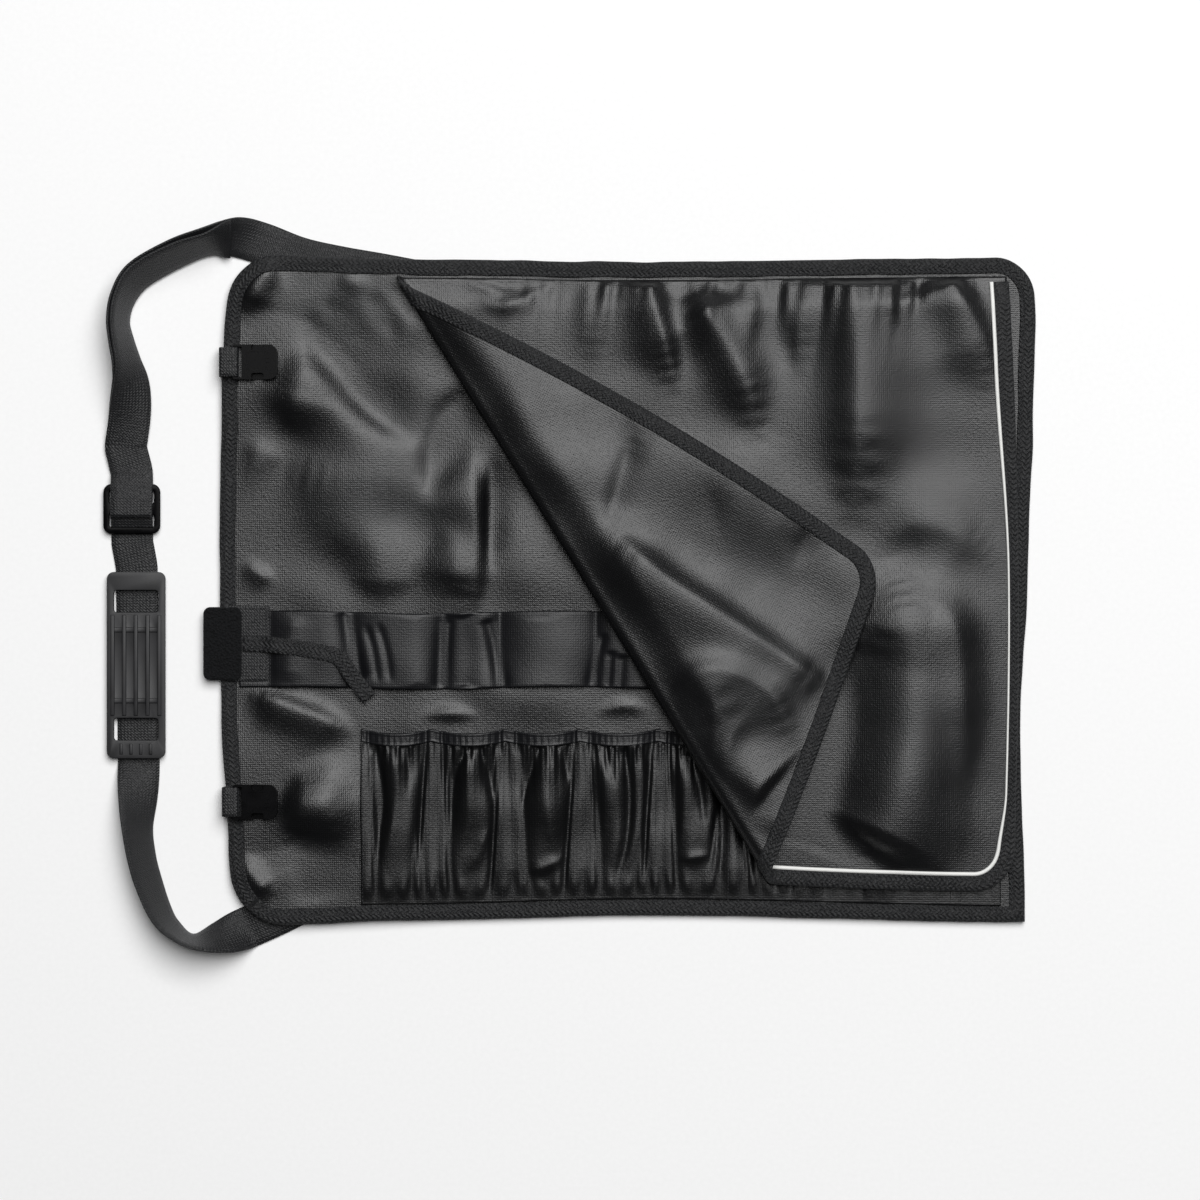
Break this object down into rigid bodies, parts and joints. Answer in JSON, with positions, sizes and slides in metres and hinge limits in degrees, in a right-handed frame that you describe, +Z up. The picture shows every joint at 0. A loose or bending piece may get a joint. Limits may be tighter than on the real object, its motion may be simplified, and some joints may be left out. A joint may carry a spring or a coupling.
{
  "type": "chef knife roll",
  "caption": "Black woven knife roll lying open: back panel with elastic band and pockets, folded cover flap with pale piping, buckles and padded shoulder strap.",
  "frame": {"origin": "middle of the bounding box at the table it lies on", "axes": "+X along the roll from the strap's side to the bare side, +Y towards the edge that the cover flap hangs from, +Z up from the table"},
  "size_m": [0.6702, 0.5276, 0.0303],
  "materials": {
    "canvas": "woven nylon, matt with a soft sheen",
    "elastic": "ribbed woven elastic, matt",
    "twill": "twill tape, matt",
    "piping": "pale piping cord, satin",
    "webbing": "woven webbing, matt",
    "loop_pile": "brushed loop pile",
    "acetal": "moulded acetal, glossy",
    "rubber": "moulded rubber, matt"
  },
  "bodies": {
    "root": {"back_panel": "canvas", "edge_binding": "twill", "knife_band": "elastic", "pocket_panel_1": "canvas", "pocket_panel_2": "canvas", "pocket_panel_3": "canvas", "pocket_panel_4": "canvas", "pocket_panel_5": "canvas", "pocket_panel_6": "canvas", "pocket_panel_7": "canvas", "pocket_panel_8": "canvas", "pocket_hem_1": "elastic", "pocket_hem_2": "elastic", "pocket_hem_3": "elastic", "pocket_hem_4": "elastic", "pocket_hem_5": "elastic", "pocket_hem_6": "elastic", "pocket_hem_7": "elastic", "pocket_hem_8": "elastic", "cover_flap": "canvas", "flap_binding": "twill", "flap_piping": "piping", "closure_base": "webbing", "closure_pad": "loop_pile", "tie_tape": "twill", "buckle_upper": "acetal", "webbing_loop_upper": "webbing", "buckle_lower": "acetal", "webbing_loop_lower": "webbing", "strap_webbing": "webbing", "strap_return": "webbing", "strap_slider": "acetal", "shoulder_pad": "rubber"}
  },
  "joints": []
}
